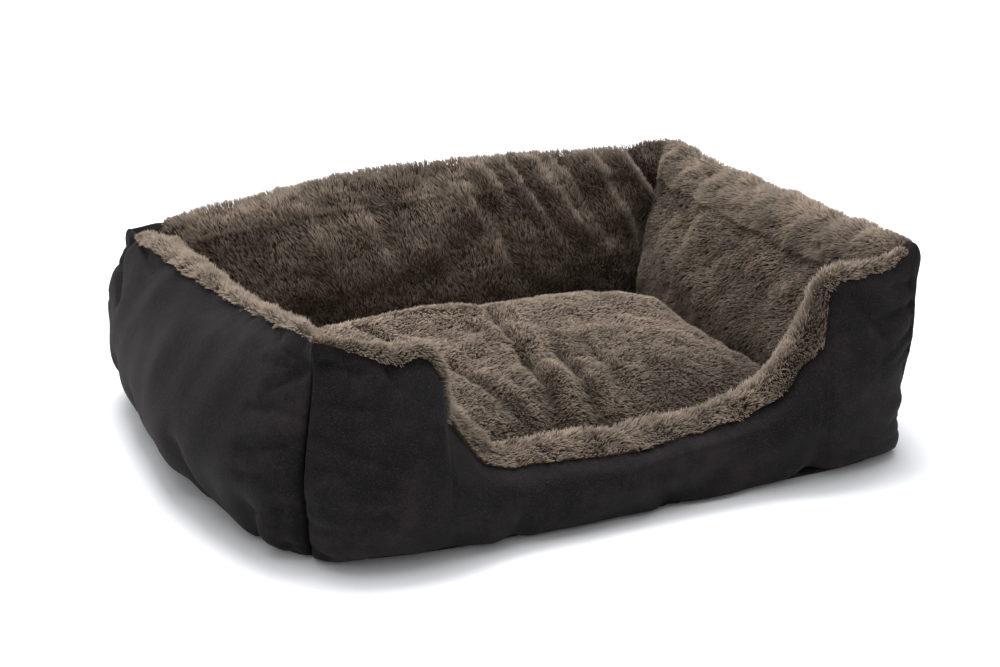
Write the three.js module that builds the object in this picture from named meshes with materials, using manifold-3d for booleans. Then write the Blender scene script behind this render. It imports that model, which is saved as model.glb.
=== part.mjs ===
// A pet cushion bed: four stuffed walls around a thin padded base, with a low entry in the front wall,
// and a loose plush cushion that lies on the base and lifts out.
// Millimetres. X is along the bed's length, +Y is its back, +Z is up, and the origin is on the floor
// under the bed's middle.
import * as THREE from 'three';
import { mergeVertices } from 'three/addons/utils/BufferGeometryUtils.js';
import Module from 'manifold-3d';

const wasm = await Module();
wasm.setup();

// Driving dimensions
const LENGTH = 620; // between the corner seams, along X
const DEPTH = 500; // between the corner seams, along Y
const WALL_HEIGHT = 200;
const ENTRY_HEIGHT = 76; // the front wall's rim inside the entry
const ENTRY_FLOOR = 270; // how wide the entry is at its lowest
const ENTRY_MOUTH = 394; // how wide the entry is at the top of the wall
const ENTRY_CURVE = 3.5; // how late and how steeply the entry's ends climb
const FULLNESS = 0.55; // how soon a wall swells to its full belly away from a corner seam
const STRAIGHT = 0.64; // the share of a wall's length that its slanting ends don't reach

const SUEDE = 2; // thickness of the outer cloth
const PLUSH = 5; // backing and pile, pressed together
const GAP = 0.3; // between pieces that touch
const OVERCUT = 1; // by which a cutting shape reaches past what it cuts

const BASE_CLOTH = 3;
const BASE_WADDING = 6;
const BASE_LINING = 1.5;
const WALL_FOOT = BASE_CLOTH + GAP;
const BASE_INSET = 9; // of the base cloth's corners from the corner seams
const BASE_BOW = 24; // how far the base cloth's sides swell past its corners
const WELL_INSET = 83; // from the corner seams to the edge of the base lining

const CUSHION_INSET = 85; // from the corner seams to the cushion's edge
const CUSHION_CORNER = 75; // corner radius
const CUSHION_SEAM = 30; // height of the edge seam above the cushion's underside
const CUSHION_CROWN = 36; // height of the middle above the edge seam
const CUSHION_PLUSH = 5;
const CUSHION_UNDERSIDE = 1.5;

// A wall's outline from the foot of its outer face, over the rim, to the foot of its inner face.
// corner and middle say how far inside the corner seams' line it runs, at the wall's end and at its
// middle, where the filling swells past the line. rise is the share of the wall's height.
const WALL_OUTLINE = [
  { corner: 8, middle: -20, rise: 0 },
  { corner: 2, middle: -38, rise: 0.13 },
  { corner: 0, middle: -45, rise: 0.34 },
  { corner: 0, middle: -38, rise: 0.6 },
  { corner: 2, middle: -25, rise: 0.82 },
  { corner: 5, middle: -11, rise: 0.94 },
  { corner: 16, middle: 6, rise: 1 },
  { corner: 28, middle: 23, rise: 0.94 },
  { corner: 36, middle: 38, rise: 0.82 },
  { corner: 47, middle: 56, rise: 0.6 },
  { corner: 60, middle: 72, rise: 0.38 },
  { corner: 66, middle: 80, rise: 0.16 },
  { corner: 66, middle: 79, rise: 0 },
];
const RIM_SEAM = 5 / 12; // where along the outline the suede meets the plush
const SEAM_SLIT = 0.002; // half of the slit between them, as a share of the outline

const suede = new THREE.MeshStandardMaterial({ color: 0x232024, roughness: 0.95, metalness: 0 });
const plush = new THREE.MeshStandardMaterial({ color: 0x7a6b5c, roughness: 1, metalness: 0 });
const fibre = new THREE.MeshStandardMaterial({ color: 0xe9e7e1, roughness: 1, metalness: 0 });
const baseCloth = new THREE.MeshStandardMaterial({ color: 0x1c1b1d, roughness: 0.9, metalness: 0 });

// General shapes

function turnOutward(positions, index) {
  const a = new THREE.Vector3();
  const b = new THREE.Vector3();
  const c = new THREE.Vector3();
  let volume = 0;
  for (let i = 0; i < index.length; i += 3) {
    a.fromArray(positions, 3 * index[i]);
    b.fromArray(positions, 3 * index[i + 1]);
    c.fromArray(positions, 3 * index[i + 2]);
    volume += a.dot(b.cross(c));
  }
  if (volume < 0) {
    index.reverse();
  }
}

// A closed solid through rings of points, each ring with as many points as the next. capOutline gives
// the flat outline by which both ends are closed.
function loft(rings, capOutline) {
  const count = rings[0].length;
  const positions = rings.flat().flatMap((p) => [p.x, p.y, p.z]);
  const index = [];
  for (let r = 0; r + 1 < rings.length; r += 1) {
    for (let i = 0; i < count; i += 1) {
      const here = r * count + i;
      const next = r * count + ((i + 1) % count);
      index.push(here, next, next + count, here, next + count, here + count);
    }
  }
  const last = (rings.length - 1) * count;
  for (const triangle of THREE.ShapeUtils.triangulateShape(capOutline, [])) {
    const [a, b, c] = triangle.sort((p, q) => p - q);
    index.push(c, b, a, last + a, last + b, last + c);
  }
  turnOutward(positions, index);
  const geometry = new THREE.BufferGeometry();
  geometry.setAttribute('position', new THREE.Float32BufferAttribute(positions, 3));
  geometry.setIndex(index);
  geometry.computeVertexNormals();
  return geometry;
}

function roundedRectangle(halfX, halfY, radius, stepsPerCorner) {
  const outline = [];
  const centres = [
    [halfX - radius, halfY - radius],
    [radius - halfX, halfY - radius],
    [radius - halfX, radius - halfY],
    [halfX - radius, radius - halfY],
  ];
  centres.forEach(([x, y], quarter) => {
    for (let i = 0; i <= stepsPerCorner; i += 1) {
      const angle = (Math.PI / 2) * (quarter + i / stepsPerCorner);
      outline.push(new THREE.Vector2(x + radius * Math.cos(angle), y + radius * Math.sin(angle)));
    }
  });
  return outline;
}

// A flat slab of cloth or wadding with its underside at the height bottom
function slab(outline, bottom, thickness) {
  const geometry = new THREE.ExtrudeGeometry(new THREE.Shape(outline), {
    depth: thickness,
    bevelEnabled: false,
  });
  geometry.translate(0, 0, bottom);
  return geometry;
}

// Boolean cuts

function solidOf(geometry) {
  const bare = geometry.clone();
  bare.deleteAttribute('normal');
  bare.deleteAttribute('uv');
  const merged = mergeVertices(bare, 1e-4);
  const mesh = new wasm.Mesh({
    numProp: 3,
    vertProperties: new Float32Array(merged.attributes.position.array),
    triVerts: new Uint32Array(merged.index.array),
  });
  return new wasm.Manifold(mesh);
}

function geometryOf(solid) {
  const mesh = solid.getMesh();
  const geometry = new THREE.BufferGeometry();
  geometry.setAttribute('position', new THREE.Float32BufferAttribute(mesh.vertProperties, 3));
  geometry.setIndex(new THREE.Uint32BufferAttribute(mesh.triVerts, 1));
  geometry.computeVertexNormals();
  return geometry;
}

function bigBox(bottom, top) {
  const geometry = new THREE.BoxGeometry(2 * LENGTH, 2 * DEPTH, top - bottom);
  geometry.translate(0, 0, (bottom + top) / 2);
  return solidOf(geometry);
}

// Walls. Each is made as the front wall is, with its length along X and its outer face towards -Y, and
// then turned about Z. Its ends are cut at 45 degrees, where the corner seams are.

function swelling(u) {
  return Math.sin(Math.PI * u) ** FULLNESS;
}

// The wall's outline at u, from 0 to 1 along the wall, as a curve of (distance in, height) points
function outlineAt(u, rimHeight) {
  const points = WALL_OUTLINE.map(({ corner, middle, rise }) => {
    const inset = THREE.MathUtils.lerp(corner, middle, swelling(u));
    return new THREE.Vector2(inset, WALL_FOOT + rise * (rimHeight - WALL_FOOT));
  });
  return new THREE.SplineCurve(points);
}

// The point at share t of the outline, moved into the wall by depth. The feet are cut level.
function pointInside(curve, t, depth) {
  const point = curve.getPoint(t);
  const along = curve.getTangent(t);
  if (t === 0 || t === 1) {
    along.set(0, Math.sign(along.y));
  }
  return new THREE.Vector2(point.x + along.y * depth, point.y - along.x * depth);
}

function sharesBetween(t0, t1, steps) {
  return Array.from({ length: steps + 1 }, (_, i) => THREE.MathUtils.lerp(t0, t1, i / steps));
}

const SUEDE_SHARES = sharesBetween(0, RIM_SEAM - SEAM_SLIT, 6);
const PLUSH_SHARES = sharesBetween(RIM_SEAM + SEAM_SLIT, 1, 9);

// A band of cloth that follows the outline through these shares of it. A band that cuts the filling
// has an overcut, by which it also reaches outwards, and below the feet.
function clothBand(curve, shares, thickness, overcut = 0) {
  const outside = shares.map((t) => pointInside(curve, t, -overcut));
  const inside = shares.map((t) => pointInside(curve, t, thickness)).reverse();
  const below = (p) => new THREE.Vector2(p.x, p.y - overcut);
  if (overcut > 0 && shares[0] === 0) {
    outside.unshift(below(outside[0]));
    inside.push(below(inside.at(-1)));
  }
  if (overcut > 0 && shares.at(-1) === 1) {
    outside.push(below(outside.at(-1)));
    inside.unshift(below(inside[0]));
  }
  return outside.concat(inside);
}

// The X of station u at the distance inset from the corner seams' line. The wall's ends slant.
function placeAlong(wall, u, inset) {
  const half = wall.length / 2;
  const nominal = half * (2 * u - 1);
  const straight = half * STRAIGHT;
  const beyond = (Math.abs(nominal) - straight) / (half - straight);
  if (beyond <= 0) {
    return nominal;
  }
  return Math.sign(nominal) * THREE.MathUtils.lerp(straight, half - inset - GAP, beyond);
}

function wallSolid(wall, sectionOf, overcut = 0) {
  const sections = wall.stations.map((u) => sectionOf(outlineAt(u, wall.rimAt(u))));
  const rings = sections.map((section, k) => {
    return section.map((p) => {
      return new THREE.Vector3(placeAlong(wall, wall.stations[k], p.x), p.x - wall.reach, p.y);
    });
  });
  if (overcut > 0) {
    rings.unshift(rings[0].map((p) => new THREE.Vector3(p.x - overcut, p.y, p.z)));
    rings.push(rings.at(-1).map((p) => new THREE.Vector3(p.x + overcut, p.y, p.z)));
  }
  return solidOf(loft(rings, sections[0]));
}

function wallPieces(wall) {
  const underSuede = SUEDE_SHARES.concat(PLUSH_SHARES[0]);
  const underPlush = [SUEDE_SHARES.at(-1), ...PLUSH_SHARES];
  const bandOf = (shares, thickness) => {
    return wallSolid(wall, (curve) => clothBand(curve, shares, thickness));
  };
  const cutterOf = (shares, thickness) => {
    return wallSolid(wall, (curve) => clothBand(curve, shares, thickness + GAP, OVERCUT), OVERCUT);
  };
  const outlineShares = [...SUEDE_SHARES, ...PLUSH_SHARES];
  const whole = wallSolid(wall, (curve) => outlineShares.map((t) => curve.getPoint(t)));
  const filling = whole
    .subtract(cutterOf(underSuede, SUEDE))
    .subtract(cutterOf(underPlush, PLUSH));
  return {
    cover: geometryOf(bandOf(SUEDE_SHARES, SUEDE)),
    lining: geometryOf(bandOf(PLUSH_SHARES, PLUSH)),
    filling: geometryOf(filling),
  };
}

// Places along a wall, closer together near its ends, where it swells fast
function plainStations(count) {
  return Array.from({ length: count + 1 }, (_, i) => (1 - Math.cos((Math.PI * i) / count)) / 2);
}

function entryRimAt(u) {
  const fromMiddle = Math.abs(u - 0.5) * LENGTH;
  const climb = THREE.MathUtils.clamp(
    (fromMiddle - ENTRY_FLOOR / 2) / ((ENTRY_MOUTH - ENTRY_FLOOR) / 2), 0, 1);
  return THREE.MathUtils.lerp(ENTRY_HEIGHT, WALL_HEIGHT, climb ** ENTRY_CURVE);
}

// The front wall's places, with the most of them where the entry's ends climb
function entryStations() {
  const mouth = ENTRY_MOUTH / 2 / LENGTH;
  const floor = ENTRY_FLOOR / 2 / LENGTH;
  const right = [];
  for (let i = 1; i <= 3; i += 1) {
    right.push(0.5 + (floor * i) / 3);
  }
  for (let i = 1; i <= 8; i += 1) {
    right.push(0.5 + THREE.MathUtils.lerp(floor, mouth, (i / 8) ** 0.6));
  }
  for (let i = 1; i <= 5; i += 1) {
    right.push(0.5 + THREE.MathUtils.lerp(mouth, 0.5, 1 - (1 - i / 5) ** 1.5));
  }
  return right.map((u) => 1 - u).reverse().concat([0.5], right);
}

const fullRimAt = () => WALL_HEIGHT;
const longSide = { length: LENGTH, reach: DEPTH / 2 };
const shortSide = { length: DEPTH, reach: LENGTH / 2 };
const WALLS = [
  { name: 'front', turn: 0, ...longSide, stations: entryStations(), rimAt: entryRimAt },
  { name: 'right', turn: 1, ...shortSide, stations: plainStations(14), rimAt: fullRimAt },
  { name: 'back', turn: 2, ...longSide, stations: plainStations(16), rimAt: fullRimAt },
  { name: 'left', turn: 3, ...shortSide, stations: plainStations(14), rimAt: fullRimAt },
];

// Base

function baseOutline() {
  const halfX = LENGTH / 2 - BASE_INSET;
  const halfY = DEPTH / 2 - BASE_INSET;
  const corners = [
    new THREE.Vector2(-halfX, -halfY),
    new THREE.Vector2(halfX, -halfY),
    new THREE.Vector2(halfX, halfY),
    new THREE.Vector2(-halfX, halfY),
  ];
  const outline = [];
  corners.forEach((corner, k) => {
    const next = corners[(k + 1) % 4];
    const along = next.clone().sub(corner).normalize();
    const outward = new THREE.Vector2(along.y, -along.x);
    for (let i = 0; i < 12; i += 1) {
      const u = i / 12;
      outline.push(corner.clone().lerp(next, u).addScaledVector(outward, BASE_BOW * swelling(u)));
    }
  });
  return outline;
}

function wellOutline() {
  return roundedRectangle(LENGTH / 2 - WELL_INSET, DEPTH / 2 - WELL_INSET, 20, 4);
}

// Cushion

// A pillow shape inside the cushion's outer surface, by side at its edge, above and below
function pillow(underside, side, below, above) {
  const seam = underside + CUSHION_SEAM;
  const halfX = LENGTH / 2 - CUSHION_INSET - side;
  const halfY = DEPTH / 2 - CUSHION_INSET - side;
  const outline = roundedRectangle(halfX, halfY, CUSHION_CORNER - side, 8);
  const ringAt = (share, z) => outline.map((p) => new THREE.Vector3(p.x * share, p.y * share, z));
  const shares = [0.25, 0.6, 0.8, 0.92, 0.98];
  const lower = shares.map((f) => ringAt(f, seam - (CUSHION_SEAM - below) * (1 - f ** 12) ** 0.5));
  const upper = shares.map((f) => ringAt(f, seam + (CUSHION_CROWN - above) * (1 - f ** 5) ** 0.5));
  return solidOf(loft([...lower, ringAt(1, seam), ...upper.reverse()], outline));
}

function cushionPieces(underside) {
  const seam = underside + CUSHION_SEAM;
  const outer = pillow(underside, 0, 0, 0);
  const filling = pillow(
    underside, CUSHION_PLUSH + GAP, CUSHION_UNDERSIDE + GAP, CUSHION_PLUSH + GAP);
  const hollow = pillow(underside, CUSHION_PLUSH, CUSHION_UNDERSIDE, CUSHION_PLUSH);
  const skin = outer.subtract(hollow);
  return {
    top: geometryOf(skin.subtract(bigBox(0, seam + GAP / 2))),
    underside: geometryOf(skin.subtract(bigBox(seam - GAP / 2, 2 * WALL_HEIGHT))),
    filling: geometryOf(filling),
  };
}

// The assembly

const bed = new THREE.Group();

function addPiece(parent, name, geometry, material) {
  const mesh = new THREE.Mesh(geometry, material);
  mesh.name = name;
  parent.add(mesh);
}

for (const wall of WALLS) {
  const group = new THREE.Group();
  group.rotation.z = (wall.turn * Math.PI) / 2;
  const pieces = wallPieces(wall);
  addPiece(group, `${wall.name}_outer_cover`, pieces.cover, suede);
  addPiece(group, `${wall.name}_plush_lining`, pieces.lining, plush);
  addPiece(group, `${wall.name}_filling`, pieces.filling, fibre);
  bed.add(group);
}

const waddingBottom = BASE_CLOTH + GAP;
const liningBottom = waddingBottom + BASE_WADDING + GAP;
addPiece(bed, 'base_cloth', slab(baseOutline(), 0, BASE_CLOTH), baseCloth);
addPiece(bed, 'base_wadding', slab(wellOutline(), waddingBottom, BASE_WADDING), fibre);
addPiece(bed, 'base_lining', slab(wellOutline(), liningBottom, BASE_LINING), baseCloth);

const cushion = cushionPieces(liningBottom + BASE_LINING + GAP);
addPiece(bed, 'cushion_top', cushion.top, plush);
addPiece(bed, 'cushion_underside', cushion.underside, baseCloth);
addPiece(bed, 'cushion_filling', cushion.filling, fibre);

export default bed;
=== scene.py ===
"""A pet cushion bed: stuffed suede-look walls, a plush lining rolled over their rims, a loose cushion."""
import math

import bpy
import numpy as np
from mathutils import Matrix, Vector
from mathutils.kdtree import KDTree


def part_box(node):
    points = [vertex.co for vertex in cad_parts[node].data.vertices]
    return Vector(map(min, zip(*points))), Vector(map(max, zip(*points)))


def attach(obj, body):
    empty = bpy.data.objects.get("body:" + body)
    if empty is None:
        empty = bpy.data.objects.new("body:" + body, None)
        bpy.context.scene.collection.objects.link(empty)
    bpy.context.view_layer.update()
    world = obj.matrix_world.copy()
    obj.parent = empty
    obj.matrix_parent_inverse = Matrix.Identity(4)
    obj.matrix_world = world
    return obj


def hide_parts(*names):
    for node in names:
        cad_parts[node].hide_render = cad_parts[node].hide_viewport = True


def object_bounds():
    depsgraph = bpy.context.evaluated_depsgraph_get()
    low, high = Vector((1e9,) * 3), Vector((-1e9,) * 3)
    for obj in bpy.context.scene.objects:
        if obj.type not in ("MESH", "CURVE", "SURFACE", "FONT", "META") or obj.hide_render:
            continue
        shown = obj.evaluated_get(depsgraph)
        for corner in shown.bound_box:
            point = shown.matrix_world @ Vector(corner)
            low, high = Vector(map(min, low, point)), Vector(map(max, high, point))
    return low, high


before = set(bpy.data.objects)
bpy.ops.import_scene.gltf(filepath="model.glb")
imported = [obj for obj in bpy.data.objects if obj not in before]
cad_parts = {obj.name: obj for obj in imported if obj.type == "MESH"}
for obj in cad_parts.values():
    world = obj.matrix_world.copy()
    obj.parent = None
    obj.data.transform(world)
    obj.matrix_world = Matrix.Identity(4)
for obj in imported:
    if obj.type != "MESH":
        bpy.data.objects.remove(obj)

cad_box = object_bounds()

# Sizes, in metres, from the frame

front_low, front_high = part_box("front_outer_cover")
side_low, side_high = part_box("right_outer_cover")
cushion_low, cushion_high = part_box("cushion_top")
cushion_base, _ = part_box("cushion_underside")
deck_low, deck_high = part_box("base_lining")
LENGTH = front_high[0] - front_low[0]
DEPTH = side_high[1] - side_low[1]
FOOT = front_low[2]
COVER_TOP = front_high[2]

# Shape

FULLNESS = 0.55  # how soon a wall swells away from a corner seam
STRAIGHT = 0.64  # the share of a wall's length that its slanting ends don't reach
RIM_WAVES = (0.0025, 0.16)  # how high the waves in a rim are, and how long
CROWDING = 0.35  # how far a wall's stations crowd towards its ends

# The front wall's rim, with the entry in it: places along the wall and heights
FRONT_RIM = np.array([
    (-0.310, 0.200), (-0.297, 0.198), (-0.274, 0.192), (-0.248, 0.184), (-0.222, 0.179), (-0.202, 0.179),
    (-0.190, 0.172), (-0.186, 0.158), (-0.184, 0.145), (-0.181, 0.136), (-0.174, 0.125), (-0.166, 0.116),
    (-0.155, 0.104), (-0.144, 0.092), (-0.133, 0.082), (-0.119, 0.075), (-0.100, 0.070), (-0.063, 0.069),
    (-0.019, 0.066), (0.022, 0.068), (0.058, 0.072), (0.092, 0.076), (0.115, 0.081), (0.132, 0.087),
    (0.145, 0.094), (0.156, 0.104), (0.165, 0.117), (0.174, 0.128), (0.180, 0.140), (0.185, 0.153),
    (0.188, 0.168), (0.193, 0.182), (0.206, 0.189), (0.232, 0.192), (0.259, 0.197), (0.283, 0.204),
    (0.310, 0.208),
])

# A wall's outline from its outer foot over the rim to its inner foot: how far inside the corner
# seams' line it runs, at a corner and at the wall's middle, and the share of the rim's height
OUTLINE = np.array([
    (0.033, -0.014, 0.00),
    (0.028, -0.036, 0.12),
    (0.018, -0.048, 0.34),
    (0.013, -0.040, 0.60),
    (0.012, -0.020, 0.82),
    (0.010, -0.004, 0.94),
    (0.014, 0.009, 1.00),
    (0.020, 0.021, 0.94),
    (0.026, 0.035, 0.82),
    (0.034, 0.058, 0.60),
    (0.046, 0.075, 0.38),
    (0.054, 0.081, 0.16),
    (0.056, 0.080, 0.03),
])
RIM_ROW = int(np.argmax(OUTLINE[:, 2]))
CALM_ROUNDS = 60  # how far the outer face below the rim evens out the steps in the rim's height
CALM_UP_TO = (0.5, 0.4)  # up to what share of the rim's height it does so, and over what share it stops
FOOT_ROUNDS = 160  # how far the stations that crowd at the rim have moved apart at the feet

# The outer face rounds over towards the rim from a share of the rim's height, which is more on a low
# wall than on a high one, up to another share
HIGH_WALL, LOW_WALL = 0.15, 0.09
ROUNDING_FROM = {"high": 0.50, "low": 0.68}
ROUNDING_TO = 0.95

# The seam between suede and plush: between what shares of the rim's height it stays, and how many times
# wider than on a level rim the plush below a steep one is, at most
SEAM_RISE = (0.45, 0.98)
STEEPEST = 4

# Each wall is made with its length along X and its outer face towards -Y, and turned about Z.
# rim is its rim's height, and belly how far its outer face swells beside the outline above, at even
# places from its left end to its right, seen from outside. lean is how far its rim falls in, and band
# how far the plush comes down over it. ends says where the seam goes at the wall's two ends: the share
# of the outline, past 0.5 where the suede comes up over the rim, and over what length.
WALLS = [
    dict(name="front", turn=0, length=LENGTH, reach=DEPTH / 2, lean=0.0, band=0.006, rim=None,
         belly=(1.35, 1.55, 1.15, 0.52, 0.26, 0.08, 0.40, 0.85, 0.90), ends=((0.47, 0.030), (0.58, 0.016))),
    dict(name="right", turn=1, length=DEPTH, reach=LENGTH / 2, lean=0.0, band=0.006,
         rim=(0.209, 0.202, 0.198, 0.200, 0.194), belly=(0.02, 0.16, 0.22), ends=((0.58, 0.016), None)),
    dict(name="back", turn=2, length=LENGTH, reach=DEPTH / 2, lean=0.0, band=0.006,
         rim=(0.194, 0.197, 0.202, 0.199, 0.185, 0.167), belly=(0.90, 0.90), ends=(None, (0.58, 0.045))),
    dict(name="left", turn=3, length=DEPTH, reach=LENGTH / 2, lean=0.008, band=0.002,
         rim=(0.168, 0.173, 0.184, 0.195, 0.201), belly=(1.60, 1.25, 1.10, 1.12, 1.25),
         ends=((0.58, 0.030), (0.47, 0.035))),
]

# How far the soft corners stand from their places, in X and Y: front left, front right, back left and
# back right, at the floor, low down and at the rim
CORNER_HEIGHTS = (0, 0.3, 1)
CORNERS = np.array([
    [[(-0.010, -0.014), (0.030, -0.016)], [(-0.008, -0.004), (0.000, 0.004)]],
    [[(-0.002, -0.010), (0.006, -0.011)], [(-0.012, -0.002), (0.002, 0.003)]],
    [[(0.018, 0.005), (0.017, 0.000)], [(-0.023, 0.002), (0.008, 0.000)]],
])

GRID = 0.004  # spacing of the cloth's points
COVER_ROWS = 52
LINING_ROWS = 52
TOP = 0.2148  # nothing stands higher
SKIN_BELOW_TOP = 0.005  # how far below that the cloth stays

# The lumps in a wall's filling: how high and how far apart they are; how far from the wall's ends and
# from the floor they are full; and before what share of the outline they end, over what share
LUMPS = ((0.0045, 0.20), (0.0016, 0.07))
LUMPS_OFF_ENDS = 0.05
LUMPS_OFF_FLOOR = 0.03
LUMPS_BEFORE = (0.88, 0.1)

# Creases: from one end to the other, along the wall and up, and how deep and how wide. A crease with a
# depth below 0 is a ridge.
CREASES_OUTSIDE = {
    "front": [(-0.236, 0.186, -0.234, 0.158, 0.0065, 0.0035), (-0.292, 0.150, -0.250, 0.142, 0.0045, 0.0040),
              (-0.292, 0.120, -0.245, 0.103, 0.0060, 0.0042), (-0.290, 0.100, -0.240, 0.083, 0.0045, 0.0042),
              (-0.290, 0.070, -0.235, 0.060, 0.0050, 0.0040), (-0.290, 0.180, -0.262, 0.172, 0.0045, 0.0040),
              (0.030, 0.004, 0.020, 0.040, 0.0070, 0.0120), (0.175, 0.004, 0.190, 0.045, 0.0060, 0.0120),
              (-0.120, 0.004, -0.112, 0.035, 0.0050, 0.0110), (0.210, 0.178, 0.250, 0.135, 0.0035, 0.0060),
              (0.300, 0.085, 0.240, 0.085, 0.0060, 0.0180)],
    "left": [(0.234, 0.140, 0.185, 0.132, 0.0045, 0.0040), (0.234, 0.112, 0.190, 0.098, 0.0060, 0.0042),
             (0.234, 0.088, 0.195, 0.078, 0.0050, 0.0040), (0.234, 0.178, 0.180, 0.186, 0.0045, 0.0042),
             (-0.200, 0.172, -0.120, 0.158, 0.0060, 0.0045), (-0.215, 0.160, -0.160, 0.120, 0.0070, 0.0048),
             (0.228, 0.168, 0.200, 0.150, 0.0060, 0.0050), (0.234, 0.060, 0.215, 0.004, 0.0060, 0.0080),
             (0.095, 0.000, 0.080, 0.060, 0.0100, 0.0130), (-0.045, 0.000, -0.055, 0.055, 0.0100, 0.0130),
             (-0.150, 0.000, -0.140, 0.060, 0.0090, 0.0130), (0.180, 0.000, 0.190, 0.040, 0.0080, 0.0110)],
    "right": [(-0.240, 0.085, -0.170, 0.085, 0.0120, 0.0220), (-0.215, 0.190, -0.170, 0.150, 0.0040, 0.0060),
              (0.215, 0.100, 0.170, 0.090, 0.0035, 0.0050)],
    "back": [(-0.275, 0.120, -0.225, 0.110, 0.0035, 0.0050), (0.280, 0.130, 0.225, 0.110, 0.0040, 0.0060),
             (0.020, 0.004, 0.030, 0.050, 0.0070, 0.0120)],
}
CREASES_INSIDE = {
    "front": [(0.100, 0.080, 0.070, 0.050, 0.0040, 0.0080)],
    "right": [(0.120, 0.180, 0.090, 0.080, 0.0030, 0.0120)],
    "back": [(-0.089, 0.200, -0.125, 0.135, -0.0070, 0.0060), (-0.117, 0.200, -0.171, 0.112, -0.0070, 0.0060),
             (-0.104, 0.190, -0.152, 0.110, 0.0060, 0.0060), (-0.189, 0.190, -0.230, 0.105, -0.0070, 0.0070),
             (-0.165, 0.190, -0.205, 0.105, 0.0060, 0.0070), (-0.225, 0.185, -0.286, 0.105, -0.0070, 0.0070),
             (-0.240, 0.190, -0.296, 0.110, 0.0080, 0.0060), (-0.062, 0.195, -0.082, 0.160, -0.0060, 0.0060),
             (-0.045, 0.160, -0.062, 0.110, -0.0060, 0.0070), (-0.072, 0.150, -0.095, 0.080, 0.0060, 0.0080),
             (0.060, 0.170, 0.030, 0.080, 0.0050, 0.0090), (0.130, 0.160, 0.110, 0.090, -0.0050, 0.0090),
             (-0.215, 0.066, -0.286, 0.020, -0.0040, 0.0040)],
    "left": [(0.100, 0.150, 0.080, 0.070, 0.0040, 0.0100), (-0.080, 0.140, -0.060, 0.070, 0.0040, 0.0100)],
}
INSIDE_DEPTH = 1.4  # how much deeper the creases in the plush are than they are written above
CREASE_FADE = 0.35  # how much shallower a crease is at its far end

# Puckers: how high and how far apart
FOOT_PUCKERS = ((0.0042, 0.13), (0.0016, 0.05))
RIM_PUCKERS = (0.0014, 0.030)
PLUSH_PUCKERS = (0.0022, 0.055)
PUCKER_SHAPE = 0.25  # a pucker's width in the suede, as a share of its height

# Where creases and puckers fade. Shares of the outline: before the seam, past the rim, before the inner
# foot, and on both sides of the seam. Distances: up from the floor, and from a wall's ends.
SUEDE_FADE = 0.02
PLUSH_FROM = (0.53, 0.05)
PLUSH_BEFORE = (0.93, 0.1)
BESIDE_SEAM = 0.03
ABOVE_FLOOR = 0.028
FOOT_OFF_ENDS = 0.02
RIM_OFF_ENDS = 0.03
PLUSH_OFF_ENDS = 0.03
ALL_OFF_ENDS = 0.007

# The short creases that run away from the corner seams
CORNER_CREASES = dict(count=9, lowest=0.022, spacing=0.019, shift=0.007, start=0.016, long=(0.018, 0.050),
                      slope=(-0.45, 0.25), deep=(0.0016, 0.0045), wide=(0.0026, 0.0044))

WAVE_COUNT = 7  # the number of waves that a random height is made of


def lerp(a, b, t):
    return a + (b - a) * t


def smooth(t):
    t = np.clip(t, 0, 1)
    return t * t * (3 - 2 * t)


def unit(v):
    return v / np.maximum(np.linalg.norm(v, axis=-1, keepdims=True), 1e-12)


def waves(points, size, seed):
    """Smooth random height at each point, about -1 to 1, with lumps about half of size across."""
    rng = np.random.default_rng(seed)
    k = unit(rng.normal(size=(WAVE_COUNT, points.shape[-1]))) * (2 * math.pi / size)
    k *= rng.uniform(0.7, 1.4, (WAVE_COUNT, 1))
    phase = rng.uniform(0, 2 * math.pi, WAVE_COUNT)
    return np.sin(points @ k.T + phase).sum(axis=-1) / math.sqrt(2 * WAVE_COUNT)


def curve_points(control, share):
    """Points on a Catmull-Rom curve. control is (..., rows, 2), and share is (..., n) from 0 to 1."""
    last = control.shape[-2] - 1
    at = np.clip(share, 0, 1) * last
    k = np.minimum(at.astype(int), last - 1)
    w = (at - k)[..., None]

    def row(i):
        index = np.clip(i, 0, last)[..., None].repeat(2, axis=-1)
        return np.take_along_axis(control, index, axis=-2)

    a, b, c, d = row(k - 1), row(k), row(k + 1), row(k + 2)
    return b + 0.5 * w * (c - a + w * (2 * a - 5 * b + 4 * c - d + w * (3 * (b - c) + d - a)))


def profile(values, u):
    """Heights of a smooth curve through evenly spaced values, at places u from 0 to 1."""
    values = np.stack([np.zeros(len(values)), values], axis=-1)
    return curve_points(np.broadcast_to(values, (*u.shape, *values.shape)), u[..., None])[..., 0, 1]


def swelling(u):
    """How far a wall's outline at u is from the one at a corner, 0, to the one at its middle, 1."""
    return np.sin(math.pi * np.clip(u, 0, 1)) ** FULLNESS


def front_rim():
    """The front rim as a smooth line of many points, from left to right."""
    line = curve_points(FRONT_RIM, np.linspace(0, 1, 900))
    line[:, 0] = np.maximum.accumulate(line[:, 0])
    return line


def rim_height(wall, u):
    if wall["name"] == "front":
        return np.interp((u - 0.5) * LENGTH, *front_rim().T)
    high, long = RIM_WAVES
    place = u[:, None] * wall["length"]
    return profile(wall["rim"], u) + high * waves(place, long, wall["turn"] + 11) * swelling(u)


def rim_seam(wall, u):
    """How far along a wall's outline its suede meets the plush, from 0 to 1."""
    height = rim_height(wall, u)
    slope = np.gradient(height, u * wall["length"])
    rise = 1 - wall["band"] * np.minimum(np.sqrt(1 + slope ** 2), STEEPEST) / height
    outer_rows = np.arange(RIM_ROW + 1)
    share = np.interp(np.clip(rise, *SEAM_RISE), OUTLINE[outer_rows, 2], outer_rows) / (len(OUTLINE) - 1)
    for seam, end in zip(wall["ends"], (u, 1 - u)):
        if seam:
            end_share, reach = seam
            share = lerp(share, end_share, np.exp(-(end * wall["length"] / reach) ** 4))
    return share


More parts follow.
